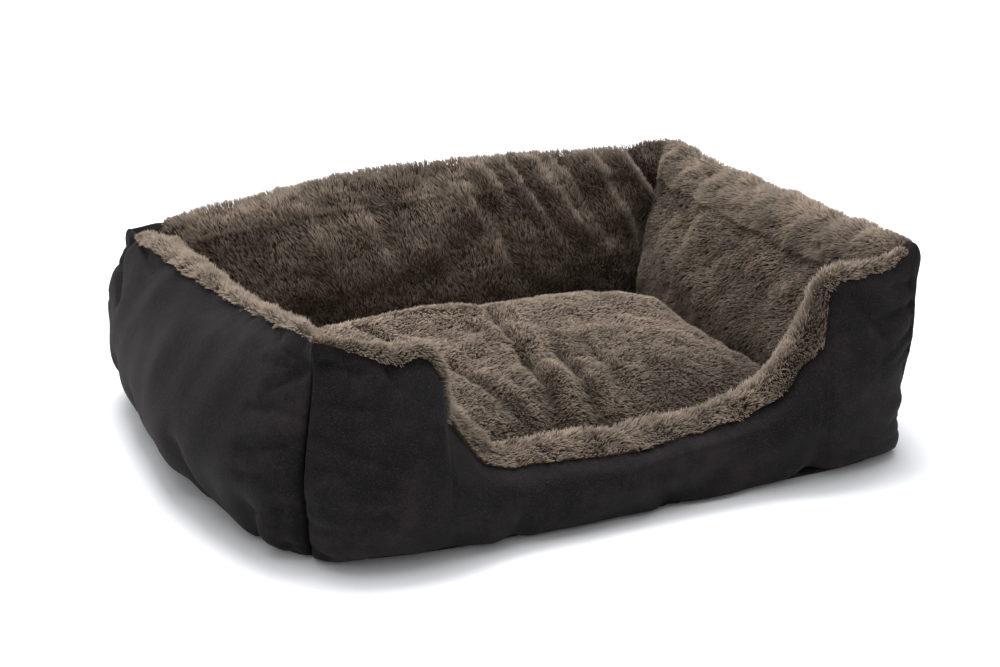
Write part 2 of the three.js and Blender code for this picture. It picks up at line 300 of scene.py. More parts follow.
def along(wall, u, inset):
    """The X of station u at the distance inset from the corner seams' line."""
    half = wall["length"] / 2
    nominal = half * (2 * u - 1)
    beyond = np.clip((np.abs(nominal) - half * STRAIGHT) / (half * (1 - STRAIGHT)), 0, 1)
    slanted = np.sign(nominal) * lerp(half * STRAIGHT, half - inset, beyond)
    return np.where(beyond > 0, slanted, nominal)


def turned(points, quarters):
    angle = quarters * math.pi / 2
    c, s = round(math.cos(angle)), round(math.sin(angle))
    x, y = points[..., 0].copy(), points[..., 1].copy()
    points = points.copy()
    points[..., 0], points[..., 1] = c * x - s * y, s * x + c * y
    return points


def grid_normals(grid):
    du = np.gradient(grid, axis=0)
    dv = np.gradient(grid, axis=1)
    return unit(np.cross(du, dv))


def settled(points):
    """Points of the bed, moved to where its soft corners have settled."""
    x = np.clip(points[..., 0] / LENGTH + 0.5, -0.1, 1.1)[..., None]
    y = np.clip(points[..., 1] / DEPTH + 0.5, -0.1, 1.1)[..., None]
    z = np.clip(points[..., 2:] / COVER_TOP, 0, 1)
    low = smooth(z / CORNER_HEIGHTS[1])
    high = smooth((z - CORNER_HEIGHTS[1]) / (1 - CORNER_HEIGHTS[1]))
    front, back = [
        [lerp(lerp(CORNERS[0, j, i], CORNERS[1, j, i], low), CORNERS[2, j, i], high) for i in (0, 1)]
        for j in (0, 1)]
    move = lerp(lerp(*front, x), lerp(*back, x), y)
    return points + np.concatenate([move, np.zeros_like(z)], axis=-1)


def wall_stations(wall):
    """Places along a wall, evenly spaced on its rim, and closer together near its ends."""
    line = front_rim() if wall["name"] == "front" else np.array([(-0.5, 0.0), (0.5, 0.0)]) * wall["length"]
    run = np.concatenate([[0], np.cumsum(np.linalg.norm(np.diff(line, axis=0), axis=1))])
    even = np.linspace(0, 1, 2 * int(run[-1] / GRID / 2) + 1)
    share = lerp(even, (1 - np.cos(math.pi * even)) / 2, CROWDING)
    return np.interp(share * run[-1], run, line[:, 0]) / wall["length"] + 0.5


def evened(values, rounds):
    """The values, each nearer to those beside it; the first and the last stay as they are."""
    values = values.copy()
    for _ in range(rounds):
        values[1:-1] = (values[:-2] + 2 * values[1:-1] + values[2:]) / 4
    return values


def wall_outlines(wall, u):
    """A wall's outline at each station: how far inside the corner seams' line it runs, and its height."""
    corner, middle, rise = OUTLINE.T
    height = rim_height(wall, u)[:, None]
    even = np.linspace(0, 1, 201)
    calm = np.interp(u, even, evened(rim_height(wall, even), CALM_ROUNDS))[:, None]
    calm_up_to, over = CALM_UP_TO
    level = np.clip(lerp(rise * height / calm, rise, smooth((rise - calm_up_to) / over)), 0, 1)
    low = smooth((HIGH_WALL - calm) / (HIGH_WALL - LOW_WALL))
    rounding = lerp(ROUNDING_FROM["high"], ROUNDING_FROM["low"], low)

    # The outer face: at a height as on the highest wall, and towards the rim as in the outline
    outer_rise, outer_middle = rise[:RIM_ROW + 1], middle[:RIM_ROW + 1]
    full = np.interp(rise * height / COVER_TOP, outer_rise, outer_middle)
    own = np.interp(level, outer_rise, outer_middle)
    face = lerp(full, own, smooth((level - rounding) / (ROUNDING_TO - rounding)))
    face = face * lerp(profile(wall["belly"], u)[:, None], 1, level ** 2)
    middle = np.where(middle < 0, face, middle)

    inset = lerp(corner, middle + wall["lean"] * rise, swelling(u)[:, None])
    return np.stack([inset, FOOT + rise * (height - FOOT)], axis=-1)


def wall_skin(wall):
    """A wall's skin, a grid of points from its outer foot over the rim to its inner foot."""
    u = wall_stations(wall)
    seam = rim_seam(wall, u)[:, None]
    outer = np.linspace(0, 1, COVER_ROWS + 1)[None, :] * seam
    inner = lerp(seam, 1.0, np.linspace(0, 1, LINING_ROWS + 1)[None, 1:])
    share = np.concatenate([outer, inner], axis=1)
    section = curve_points(wall_outlines(wall, u), share)
    inset, z = section[..., 0], section[..., 1]
    at_rim = 1 - (2 * share - 1) ** 2
    x = along(wall, lerp(evened(u, FOOT_ROUNDS)[:, None], u[:, None], at_rim), inset)
    grid = np.stack([x, inset - wall["reach"], z], axis=-1)

    u = np.broadcast_to(u[:, None], inset.shape)
    before, over = LUMPS_BEFORE
    off_ends = smooth(np.minimum(u, 1 - u) * wall["length"] / LUMPS_OFF_ENDS)
    off_foot = smooth(z / LUMPS_OFF_FLOOR) * smooth((before - share) / over)
    lump = sum(high * waves(grid, apart, 10 * wall["turn"] + k + 1) for k, (high, apart) in enumerate(LUMPS))
    return u, share, grid + grid_normals(grid) * (lump * off_ends * off_foot)[..., None]


def crease_depth(points, creases):
    """How deep the creases are at points (along, up)."""
    depth = np.zeros(points.shape[:-1])
    for *ends, deep, wide in creases:
        start, finish = np.array(ends[:2]), np.array(ends[2:])
        run = finish - start
        place = np.clip((points - start) @ run / (run @ run), 0, 1)
        gap = np.linalg.norm(points - start - place[..., None] * run, axis=-1)
        depth = depth + deep * (1 - CREASE_FADE * place) * np.exp(-(gap / wide) ** 2)
    return depth


def corner_creases(wall):
    """Short creases that run away from the seams at a wall's two ends."""
    rule = CORNER_CREASES
    rng = np.random.default_rng(wall["turn"] + 60)
    creases = []
    for side in (-1, 1):
        for k in range(rule["count"]):
            z = rule["lowest"] + rule["spacing"] * k + rng.uniform(-rule["shift"], rule["shift"])
            long = rng.uniform(*rule["long"])
            x = side * (wall["length"] / 2 - rule["start"])
            creases.append((x, z, x - side * long, z + rng.uniform(*rule["slope"]) * long,
                            rng.uniform(*rule["deep"]), rng.uniform(*rule["wide"])))
    return creases


def puckered(wall, u, share, grid):
    """The grid with creases in it, and with puckers beside its seams and its feet."""
    name, seed = wall["name"], 10 * wall["turn"]
    end = np.minimum(u, 1 - u) * wall["length"]
    seam = rim_seam(wall, u[:, 0])[:, None]
    outside = smooth((seam - share) / SUEDE_FADE)
    plush_from, fade_in = PLUSH_FROM
    plush_before, fade_out = PLUSH_BEFORE
    inside = smooth((share - plush_from) / fade_in) * smooth((plush_before - share) / fade_out)
    plane = grid[..., (0, 2)]
    depth = outside * crease_depth(plane, CREASES_OUTSIDE[name] + corner_creases(wall))
    depth = depth + inside * INSIDE_DEPTH * crease_depth(plane, CREASES_INSIDE[name])

    upright = grid * (1.0, 1.0, PUCKER_SHAPE)
    near_foot = np.exp(-grid[..., 2] / ABOVE_FLOOR) * outside * smooth(end / FOOT_OFF_ENDS)
    near_rim = np.exp(-np.abs(share - seam) / BESIDE_SEAM) * smooth(end / RIM_OFF_ENDS)
    in_plush = inside * smooth(end / PLUSH_OFF_ENDS)
    (broad, broad_apart), (fine, fine_apart) = FOOT_PUCKERS
    foot_waves = broad * waves(upright, broad_apart, seed + 4) + fine * waves(upright, fine_apart, seed + 7)
    move = near_foot * foot_waves
    move = move + near_rim * RIM_PUCKERS[0] * waves(upright, RIM_PUCKERS[1], seed + 5)
    move = move + in_plush * PLUSH_PUCKERS[0] * waves(plane, PLUSH_PUCKERS[1], seed + 6)
    return grid + grid_normals(grid) * ((move - depth) * smooth(end / ALL_OFF_ENDS))[..., None]


# Meshes

CLOTH = 0.0015  # the thickness of the walls' cloth
SIMULATED_STEPS = 20


def add_mesh(name, points, faces, attributes=None, uv=None):
    """An object with these points and faces; faces is a list of (n, 3) or (n, 4) index arrays."""
    mesh = bpy.data.meshes.new(name)
    loops = np.concatenate([f.ravel() for f in faces]).astype(np.int32)
    sizes = np.concatenate([np.full(len(f), f.shape[1]) for f in faces]).astype(np.int32)
    mesh.vertices.add(len(points))
    mesh.vertices.foreach_set("co", np.ascontiguousarray(points, np.float32).ravel())
    mesh.loops.add(len(loops))
    mesh.loops.foreach_set("vertex_index", loops)
    mesh.polygons.add(len(sizes))
    mesh.polygons.foreach_set("loop_start", np.concatenate([[0], np.cumsum(sizes)[:-1]]).astype(np.int32))
    mesh.polygons.foreach_set("loop_total", sizes)
    mesh.polygons.foreach_set("use_smooth", np.ones(len(sizes), bool))
    mesh.update(calc_edges=True)
    for key, values in (attributes or {}).items():
        mesh.attributes.new(key, "FLOAT", "POINT").data.foreach_set("value", values.astype(np.float32))
    if uv is not None:
        mesh.uv_layers.new(name="OFBake").data.foreach_set("uv", uv[loops].astype(np.float32).ravel())
    mesh.validate()
    piece = bpy.data.objects.new(name, mesh)
    bpy.context.scene.collection.objects.link(piece)
    return piece


def grid_faces(nu, nv, wrap=False):
    i, j = np.meshgrid(np.arange(nu if wrap else nu - 1), np.arange(nv - 1), indexing="ij")
    a = i * nv + j
    b = (i + 1) % nu * nv + j
    return np.stack([a, b, b + 1, a + 1], axis=-1).reshape(-1, 4)


def add_cloth(name, grid):
    piece = add_mesh(name, grid.reshape(-1, 3), [grid_faces(*grid.shape[:2])])
    solidify = piece.modifiers.new("thickness", "SOLIDIFY")
    solidify.thickness = CLOTH
    solidify.offset = -1
    return piece


def stuffed(grid, pinned, pressure, cap, spare, wrap=False):
    """How far each point of a sheet of cloth moves when the filling presses it outwards, cap at most.

    pinned is where the sheet is held, and spare is how much longer its threads are than the grid."""
    piece = add_mesh("cloth_at_work", grid.reshape(-1, 3), [grid_faces(*grid.shape[:2], wrap)])
    held = piece.vertex_groups.new(name="held")
    held.add([int(i) for i in np.flatnonzero(pinned)], 1.0, "REPLACE")
    cloth = piece.modifiers.new("cloth", "CLOTH")
    cloth.settings.quality = 6
    cloth.settings.mass = 0.2
    cloth.settings.tension_stiffness = 12
    cloth.settings.compression_stiffness = 12
    cloth.settings.shear_stiffness = 4
    cloth.settings.bending_stiffness = 0.4
    cloth.settings.shrink_min = -spare
    cloth.settings.vertex_group_mass = "held"
    cloth.settings.use_pressure = True
    cloth.settings.uniform_pressure_force = pressure
    cloth.settings.effector_weights.gravity = 0
    cloth.collision_settings.use_collision = False
    cloth.point_cache.frame_start = 1
    cloth.point_cache.frame_end = SIMULATED_STEPS
    for step in range(1, SIMULATED_STEPS + 1):
        bpy.context.scene.frame_set(step)
    done = piece.evaluated_get(bpy.context.evaluated_depsgraph_get()).to_mesh()
    after = np.empty(grid.size, np.float32)
    done.vertices.foreach_get("co", after)
    mesh = piece.data
    bpy.data.objects.remove(piece)
    bpy.data.meshes.remove(mesh)
    bpy.context.scene.frame_set(1)
    moved = after.reshape(grid.shape).astype(float) - grid
    far = np.maximum(np.linalg.norm(moved, axis=-1, keepdims=True), 1e-9)
    return moved * (cap * np.tanh(far / cap) / far)


def softened(values, rounds=6):
    """The values on a grid, each nearer to those beside it; its borders stay as they are."""
    values = values.copy()
    for _ in range(rounds):
        values[1:-1] = (values[:-2] + 2 * values[1:-1] + values[2:]) / 4
        values[:, 1:-1] = (values[:, :-2] + 2 * values[:, 1:-1] + values[:, 2:]) / 4
    return values


def finer(values, axis):
    """The values with one more between each two along an axis."""
    values = np.moveaxis(values, axis, 0)
    result = np.empty((2 * len(values) - 1, *values.shape[1:]))
    result[::2] = values
    result[1::2] = (values[:-1] + values[1:]) / 2
    return np.moveaxis(result, 0, axis)


# Pile

PILE_WIDTH = 0.0009
PILE_SOFTNESS = 1.8  # how far a strand takes its light from the whole surface, not its own side
TUFT = 4  # the number of strands in a tuft
GATHER = 0.26  # how far the strands of a tuft lean together
SWIRL = (0.20, 0.045)  # how far the pile's direction wanders, and over what distance
STRAY = 0.13  # how far single strands point astray
LENGTHS = (0.72, 1.15)  # the least and the most that a strand's length is multiplied by
WIDTHS = (0.7, 1.25)  # the same for its width
GATHERING = (0.4, 1.5)  # and for how far it leans to its tuft
LEAST_OUTWARD = 0.32  # a strand points this much away from the cloth at least
DROOP = 0.10  # how far a tip hangs over
ARCH = 0.09  # how far a strand's middle bows out
ROOT_DEPTH = 0.0010  # how deep a strand starts in the cloth
TONE_NOISE = 0.09  # how much single strands differ in tone
HEADROOM = 0.008  # the distance below TOP in which tips are pressed down
OFF_FLOOR = 0.0005  # how far above the walls' feet the lowest strands stay


def scatter(grid, count, rng):
    """Roots spread evenly over a grid: points, normals, directions along its sides, columns and rows."""
    normal = grid_normals(grid)
    a, b, c, d = grid[:-1, :-1], grid[1:, :-1], grid[1:, 1:], grid[:-1, 1:]
    area = np.linalg.norm(np.cross(c - a, d - b), axis=-1) / 2
    cell = rng.choice(area.size, size=count, p=area.ravel() / area.sum())
    i, j = np.unravel_index(cell, area.shape)
    s, t = rng.uniform(size=(2, count, 1))

    def blend(values):
        lower = lerp(values[i, j], values[i + 1, j], s)
        upper = lerp(values[i, j + 1], values[i + 1, j + 1], s)
        return lerp(lower, upper, t)

    along_u = unit(blend(np.gradient(grid, axis=0)))
    along_v = unit(blend(np.gradient(grid, axis=1)))
    return blend(grid), unit(blend(normal)), along_u, along_v, i + s[:, 0], j + t[:, 0]


def tuft_of(roots):
    """For each root, the number of the root at the middle of its tuft."""
    middles = np.arange(0, len(roots), TUFT)
    tree = KDTree(len(middles))
    for k, place in enumerate(roots[middles]):
        tree.insert(place, k)
    tree.balance()
    return middles[[tree.find(place)[1] for place in roots]]


def patchy(tone, roots, patches, seed):
    """The tone at the roots with patches in it, each layer with how strong and how large they are."""
    for k, (strong, large) in enumerate(patches):
        tone = tone + strong * waves(roots, large, seed + k)
    return tone


def add_pile(name, roots, normals, lay, length, lean, tone, rng):
    """Long pile in tufts: each strand is a closed spindle with its point out and its root in the cloth."""
    count = len(roots)
    swirl = np.stack([waves(roots, SWIRL[1], 7 * k + 3) for k in range(3)], axis=-1)
    stray = STRAY * rng.normal(size=(count, 3))
    way = unit(normals * (1 - lean) + lay * lean + SWIRL[0] * swirl + stray)
    outward = (way * normals).sum(axis=-1, keepdims=True)
    way = unit(way + normals * np.maximum(LEAST_OUTWARD - outward, 0))
    long = (length * rng.uniform(*LENGTHS, count))[:, None]
    goal = roots + way * long
    tip = lerp(goal, goal[tuft_of(roots)], GATHER * rng.uniform(*GATHERING, (count, 1)))
    tip = tip + lay * long * DROOP
    body = lerp(roots, tip, 0.5) + normals * long * ARCH
    way = unit(tip - roots)
    wide = (PILE_WIDTH * rng.uniform(*WIDTHS, count))[:, None]
    side = unit(np.cross(way, rng.normal(size=(count, 3))))
    other = np.cross(way, side)
    rounds = [math.cos(a) * side + math.sin(a) * other for a in (0, 2 * math.pi / 3, 4 * math.pi / 3)]
    points = np.stack([roots - normals * ROOT_DEPTH, *(body + r * wide / 2 for r in rounds), tip], axis=1)
    high = points[..., 2] - (TOP - HEADROOM)
    points[..., 2] = np.where(high > 0, TOP - HEADROOM * np.exp(-high / HEADROOM), points[..., 2])
    points[..., 2] = np.maximum(points[..., 2], FOOT + OFF_FLOOR)
    facing = np.stack([normals, *(unit(PILE_SOFTNESS * normals + r) for r in rounds), normals], axis=1)

    base = (np.arange(count) * 5)[:, None]
    faces = [base + np.array([[0, 1 + (k + 1) % 3, 1 + k]]) for k in range(3)]
    faces += [base + np.array([[4, 1 + k, 1 + (k + 1) % 3]]) for k in range(3)]
    height = np.tile(np.array([0, 0.5, 0.5, 0.5, 1.0]), count)
    tone = np.repeat(tone + TONE_NOISE * rng.normal(size=count), 5)

    # Each strand has a square of its own in the bake UV map
    cells = math.ceil(math.sqrt(count))
    square = np.stack([np.arange(count) % cells, np.arange(count) // cells], axis=-1)[:, None, :]
    uv = (square + np.array([(0.5, 0.1), (0.2, 0.5), (0.5, 0.5), (0.8, 0.5), (0.5, 0.9)])) / cells
    pile = add_mesh(name, points.reshape(-1, 3), faces, {"height": height, "tone": tone}, uv.reshape(-1, 2))
    pile.data.normals_split_custom_set_from_vertices(facing.reshape(-1, 3))
    return pile


# Materials

def colour(r, g, b):
    """A display colour, 0 to 255, as the shader wants it."""
    values = [c / 255 for c in (r, g, b)]
    values = [c / 12.92 if c <= 0.04045 else ((c + 0.055) / 1.055) ** 2.4 for c in values]
    return (*values, 1.0)


def grey(value):
    return (value, value, value, 1.0)


class Nodes:
    """A material with a Principled shader, and short ways to add nodes to it."""

    def __init__(self, name, roughness, sheen, sheen_tint, sheen_roughness=0.5):
        self.material = bpy.data.materials.new(name)
        self.material.use_nodes = True
        self.tree = self.material.node_tree
        self.shader = self.tree.nodes["Principled BSDF"]
        self.set("Roughness", roughness)
        self.set("Specular IOR Level", 0.2)
        self.set("Sheen Weight", sheen)
        self.set("Sheen Tint", sheen_tint)
        self.set("Sheen Roughness", sheen_roughness)

    def set(self, socket, value):
        self.shader.inputs[socket].default_value = value

    def add(self, kind, links=None, **values):
        node = self.tree.nodes.new(kind)
        for key, value in values.items():
            setattr(node, key, value)
        for key, source in (links or {}).items():
            if isinstance(source, bpy.types.NodeSocket):
                self.tree.links.new(source, node.inputs[key])
            else:
                node.inputs[key].default_value = source
        return node

    def noise(self, scale, detail=3.0, roughness=0.5):
        place = self.add("ShaderNodeTexCoord").outputs["Object"]
        return self.add("ShaderNodeTexNoise", {
            "Vector": place, "Scale": scale, "Detail": detail, "Roughness": roughness}).outputs[0]

    def ramp(self, factor, stops):
        node = self.add("ShaderNodeValToRGB", {"Fac": factor})
        elements = node.color_ramp.elements
        while len(elements) < len(stops):
            elements.new(0.5)
        for element, (place, value) in zip(elements, stops):
            element.position = place
            element.color = value
        return node.outputs["Color"]

    def mix(self, factor, a, b, mode="MIX"):
        node = self.add("ShaderNodeMix", data_type="RGBA", blend_type=mode)
        for socket, value in ((0, factor), (6, a), (7, b)):
            if isinstance(value, bpy.types.NodeSocket):
                self.tree.links.new(value, node.inputs[socket])
            else:
                node.inputs[socket].default_value = value
        return node.outputs[2]

    def bump(self, height, strength, distance, below=None):
        links = {"Height": height, "Strength": strength, "Distance": distance}
        if below is not None:
            links["Normal"] = below
        return self.add("ShaderNodeBump", links).outputs[0]

    def link(self, source, socket):
        self.tree.links.new(source, self.shader.inputs[socket])


def suede_material():
    """Nearly black, with a nap brushed lighter in places, and fine specks of dust-grey fibre."""
    n = Nodes("suede", 0.9, 0.08, colour(140, 130, 130), 0.4)
    clouds = n.noise(10.0, 4.0, 0.6)
    brushed = n.noise(42.0, 8.0, 0.74)
    tone = n.mix(0.65, clouds, brushed)
    ground = n.ramp(tone, [(0.38, colour(3, 2, 3)), (0.49, colour(8, 6, 7)), (0.60, colour(28, 23, 25))])
    specks = n.ramp(n.noise(1000.0, 3.0, 0.65), [(0.54, grey(0.0)), (0.72, grey(0.34))])
    n.link(n.mix(specks, ground, colour(82, 75, 71)), "Base Color")
    n.link(n.ramp(brushed, [(0.3, grey(0.78)), (0.7, grey(0.97))]), "Roughness")
    nap = n.bump(n.noise(900.0, 3.0, 0.6), 0.7, 0.0009)
    n.link(n.bump(n.noise(230.0, 4.0, 0.6), 0.5, 0.0012, nap), "Normal")
    return n.material


def pile_material(name, root, middle, tip):
    """Coloured along each strand, by its attribute height, and made darker or lighter by tone, which holds
    painted light and painted shade as well as patches.
    """
    n = Nodes(name, 0.85, 0.25, colour(215, 200, 180), 0.5)
    height = n.add("ShaderNodeAttribute", attribute_name="height").outputs["Fac"]
    tone = n.add("ShaderNodeAttribute", attribute_name="tone").outputs["Fac"]
    strand = n.ramp(height, [(0.0, root), (0.5, middle), (1.0, tip)])
    shade = n.ramp(tone, [(0.0, grey(0.30)), (0.5, grey(0.95)), (1.0, grey(1.60))])
    fine = n.ramp(n.noise(60.0), [(0.35, grey(0.88)), (0.65, grey(1.10))])
    n.link(n.mix(1.0, n.mix(1.0, strand, shade, "MULTIPLY"), fine, "MULTIPLY"), "Base Color")
    return n.material


def backing_material():
    """The cloth that the pile is rooted in."""
    n = Nodes("pile_backing", 0.95, 0.0, colour(200, 190, 180))
    n.link(n.ramp(n.noise(300.0, 3.0), [(0.3, colour(38, 30, 24)), (0.7, colour(72, 60, 50))]), "Base Color")
    n.link(n.bump(n.noise(500.0), 0.6, 0.0015), "Normal")
    return n.material


def woven_material(name, dark, light):
    n = Nodes(name, 0.88, 0.12, colour(150, 145, 140))
    place = n.add("ShaderNodeTexCoord").outputs["Object"]
    weave = []
    for direction in ("X", "Y"):
        wave = n.add("ShaderNodeTexWave", {"Vector": place, "Scale": 420.0}, bands_direction=direction)
        weave.append(wave.outputs[0])
    cross = n.mix(0.5, *weave)
    n.link(n.ramp(cross, [(0.3, dark), (0.7, light)]), "Base Color")
    n.link(n.bump(cross, 0.5, 0.0006), "Normal")
    return n.material


def fibre_material():
    n = Nodes("fibre_filling", 0.95, 0.2, colour(255, 255, 250))
    n.link(n.ramp(n.noise(120.0, 6.0), [(0.3, colour(205, 202, 194)), (0.7, colour(240, 238, 232))]),
           "Base Color")
    n.link(n.bump(n.noise(260.0, 6.0), 0.8, 0.003), "Normal")
    return n.material


SUEDE = suede_material()
WALL_PILE = pile_material("wall_pile", colour(48, 39, 33), colour(103, 90, 79), colour(160, 145, 130))
CUSHION_PILE = pile_material("cushion_pile", colour(50, 41, 34), colour(110, 96, 85), colour(164, 149, 134))
BACKING = backing_material()
BASE_CLOTH = woven_material("base_cloth", colour(22, 21, 22), colour(42, 40, 41))
FIBRE = fibre_material()


def dress(piece, material, slot, body, *nodes):
    """Give a piece its material and the body it rides on, and hide the CAD nodes it stands for. slot is not
    used.
    """
    piece.data.materials.append(material)
    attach(piece, body)
    if nodes:
        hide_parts(*nodes)
    return piece


# The walls

# How the pile lies on each wall, along the wall and down its inner face; its painted shade there and its
# painted light on the rim, lighter or darker on each wall by how the light falls on it; how many strands the
# inner face has and how long they are
LAY = {"front": (0.3, -1.0), "right": (0.5, 0.8), "back": (0.5, -0.9), "left": (0.2, -1.0)}
WALL_PAINTED_SHADE = {"front": 0.36, "right": 0.11, "back": 0.17, "left": 0.36}
RIM_PAINTED_LIGHT = {"front": 0.48, "right": 0.46, "back": 0.36, "left": 0.50}
STRANDS = {"front": 28000, "right": 33000, "back": 33200, "left": 30000}
PILE_LENGTH = {"front": 0.0090, "right": 0.0070, "back": 0.0095, "left": 0.0090}

# Painted light at the inner face's top and painted shade at its foot: how much lighter or darker than the
# rest of it the inner face is there
TOP_PAINTED_LIGHT, FOOT_PAINTED_SHADE = 0.14, -0.10

# The rim: its rows of the lining, and those over which its pile grows longer and turns from its lay at
# the seam to the inner face's; its strands; their length at the seam and further in; how far that
# varies, and over what distance; and how much shorter they are at a wall's ends, and how far from them
RIM_ROWS = 20
TURNING_ROWS = 8
SEAM_LAY = (0.25, -0.9)
RIM_STRANDS = 20000
RIM_PILE = (0.0065, 0.0120)
RIM_UNEVEN = (0.22, 0.018)
END_SHORTENING = 0.5
END_REACH = 0.09

INNER_LEAN, RIM_LEAN = 0.5, 0.45  # how far the strands lie down instead of standing up
RIM_LIFT = 0.3  # how far the pile on the rim is lifted off it

# Patches in the pile's tone: how strong they are, and about how large
RIM_PATCHES = ((0.12, 0.06), (0.08, 0.016))
INNER_PATCHES = ((0.12, 0.09), (0.14, 0.022))

# A filling leaves out columns at a wall's ends, and is drawn in from the skin round its middle, most at
# its own ends
FILLING_MARGIN = 6
FILLING_TAPER = 14
FILLING_SIZE = {"end": 0.40, "middle": 0.76}


def closed_filling(name, skin):
    """A wall's filling: its skin drawn in round its middle, closed along its foot and at both ends."""
    ring = skin[FILLING_MARGIN:-FILLING_MARGIN]
    middle = ring.mean(axis=1, keepdims=True)
    row = np.arange(len(ring))
    full = smooth(np.minimum(row, row[::-1]) / FILLING_TAPER)[:, None, None]
    ring = middle + (ring - middle) * lerp(FILLING_SIZE["end"], FILLING_SIZE["middle"], full)
    nu, nv = ring.shape[:2]
    closing = np.stack([np.arange(nu - 1) * nv, np.arange(nu - 1) * nv + nv - 1,
                        np.arange(1, nu) * nv + nv - 1, np.arange(1, nu) * nv], axis=-1)
    first = np.arange(nv)[None, :]
    last = (nu - 1) * nv + np.arange(nv)[None, ::-1]
    return add_mesh(name, ring.reshape(-1, 3), [grid_faces(nu, nv), closing[:, ::-1], first[:, ::-1], last])


def add_rim_pile(wall, u, lining, rng):
    name = wall["name"]
    roots, normals, side, down, column, row = scatter(lining[:, :RIM_ROWS + 1], RIM_STRANDS, rng)
    place = np.interp(column, np.arange(len(u)), u)
    near_end = 1 - smooth(np.minimum(place, 1 - place) * wall["length"] / END_REACH)
    across, down_wall = LAY[name]
    inwards = smooth((row - 2) / TURNING_ROWS)[:, None]
    seam_lay = SEAM_LAY[0] * side + SEAM_LAY[1] * down
    lay = unit(lerp(seam_lay, across * side + down_wall * down, inwards) + RIM_LIFT * normals)
    # Painted light: the rim's pile is painted lighter than the inner face, and turns to the inner face's
    # painted shade further in
    tone = lerp(RIM_PAINTED_LIGHT[name], WALL_PAINTED_SHADE[name] + TOP_PAINTED_LIGHT, smooth(row / RIM_ROWS))
    tone = patchy(tone, roots, RIM_PATCHES, 71)
    uneven, apart = RIM_UNEVEN
    length = lerp(*RIM_PILE, smooth(row / TURNING_ROWS)) * (1 + uneven * waves(roots, apart, 75))
    length = length * (1 - END_SHORTENING * near_end)
    pile = add_pile(f"{name}_rim_pile", roots, normals, lay, length, RIM_LEAN, tone, rng)
    dress(pile, WALL_PILE, "plush", "bed")


def add_inner_pile(wall, lining, rng):
    name = wall["name"]
    roots, normals, side, down, _, row = scatter(lining[:, RIM_ROWS - 1:], STRANDS[name], rng)
    across, down_wall = LAY[name]
    # Painted shade: the wall's own level, with painted light at the top and painted shade at the foot
    tone = WALL_PAINTED_SHADE[name] + lerp(TOP_PAINTED_LIGHT, FOOT_PAINTED_SHADE, smooth(row / (LINING_ROWS - RIM_ROWS)))
    tone = patchy(tone, roots, INNER_PATCHES, 73)
    lay = unit(across * side + down_wall * down)
    pile = add_pile(f"{name}_inner_pile", roots, normals, lay, PILE_LENGTH[name], INNER_LEAN, tone, rng)
    dress(pile, WALL_PILE, "plush", "bed")


def make_wall(wall):
    name = wall["name"]
    u, share, skin = wall_skin(wall)
    rough = skin[::2, ::2]
    held = np.zeros(rough.shape[:2], bool)
    held[[0, -1], :] = held[:, [0, -1]] = True
    moved = stuffed(rough, held, pressure=2.5, cap=0.007, spare=0.035)
    skin = skin + finer(finer(softened(moved), 0), 1)
    skin = puckered(wall, u, share, skin)
    skin[..., 2] = np.clip(skin[..., 2], FOOT + CLOTH, TOP - SKIN_BELOW_TOP)
    skin = settled(turned(skin, wall["turn"]))
    cover, lining = skin[:, :COVER_ROWS + 1], skin[:, COVER_ROWS:]
    suede = dress(add_cloth(f"{name}_cover", cover), SUEDE, "suede", "bed", f"{name}_outer_cover")
    dress(add_cloth(f"{name}_lining", lining[::2, ::2]), BACKING, "plush", "bed", f"{name}_plush_lining")
    filling = closed_filling(f"{name}_stuffing", skin[::2, ::2])
    dress(filling, FIBRE, "fibre_filling", "bed", f"{name}_filling")
    rng = np.random.default_rng(100 + wall["turn"])
    add_rim_pile(wall, u[:, 0], lining, rng)
    add_inner_pile(wall, lining, rng)


for wall in WALLS:
    make_wall(wall)


# The base

BASE_INSET = 0.010  # how far the underside's edge is inside the walls' feet
WELL_RADIUS = 0.05
DECK_CLOTH = 0.0005


def base_outline():
    """The outline of the walls' feet, from a little inside it."""
    sides = []
    foot_corner, foot_middle, _ = OUTLINE[0]
    for wall in WALLS:
        u = np.linspace(0, 1, 60, endpoint=False)
        foot = lerp(foot_corner, foot_middle * profile(wall["belly"], u), swelling(u)) + BASE_INSET
        points = np.stack([along(wall, u, foot), foot - wall["reach"], np.zeros_like(u)], axis=-1)
        sides.append(settled(turned(points, wall["turn"])))
    return np.concatenate(sides)


def add_pad(name, outline, top, bottom, crown=0.0, lumps=0.0, rings=14):
    """A flat closed pad inside an outline round the origin; its top rises by crown, and has lumps."""
    shares = np.linspace(0.02, 1, rings)
    upper = [outline * (f, f, 1) + (0, 0, top + crown * (1 - f ** 4)) for f in shares]
    lower = [outline * (f, f, 1) + (0, 0, bottom) for f in shares[::-1]]
    grid = np.stack([*upper, *lower], axis=1)
    raised = grid[..., 2] > (top + bottom) / 2
    grid[..., 2] += np.where(raised, lumps * waves(grid[..., :2], 0.09, 41), 0)
    nu, nv = grid.shape[:2]
    caps = [np.arange(nu)[None, :] * nv, np.arange(nu)[None, ::-1] * nv + nv - 1]
    return add_mesh(name, grid.reshape(-1, 3), [grid_faces(nu, nv, wrap=True)[:, ::-1], *caps])


def rounded_rectangle(half_x, half_y, radius, count=240):
    """A superellipse, whose corners are about as round as the radius says."""
    angle = np.linspace(0, 2 * math.pi, count, endpoint=False)
    power = 2 + 1.2 * min(half_x, half_y) / radius
    c, s = np.cos(angle), np.sin(angle)
    r = (np.abs(c / half_x) ** power + np.abs(s / half_y) ** power) ** (-1 / power)
    return np.stack([r * c, r * s, np.zeros(count)], axis=-1)


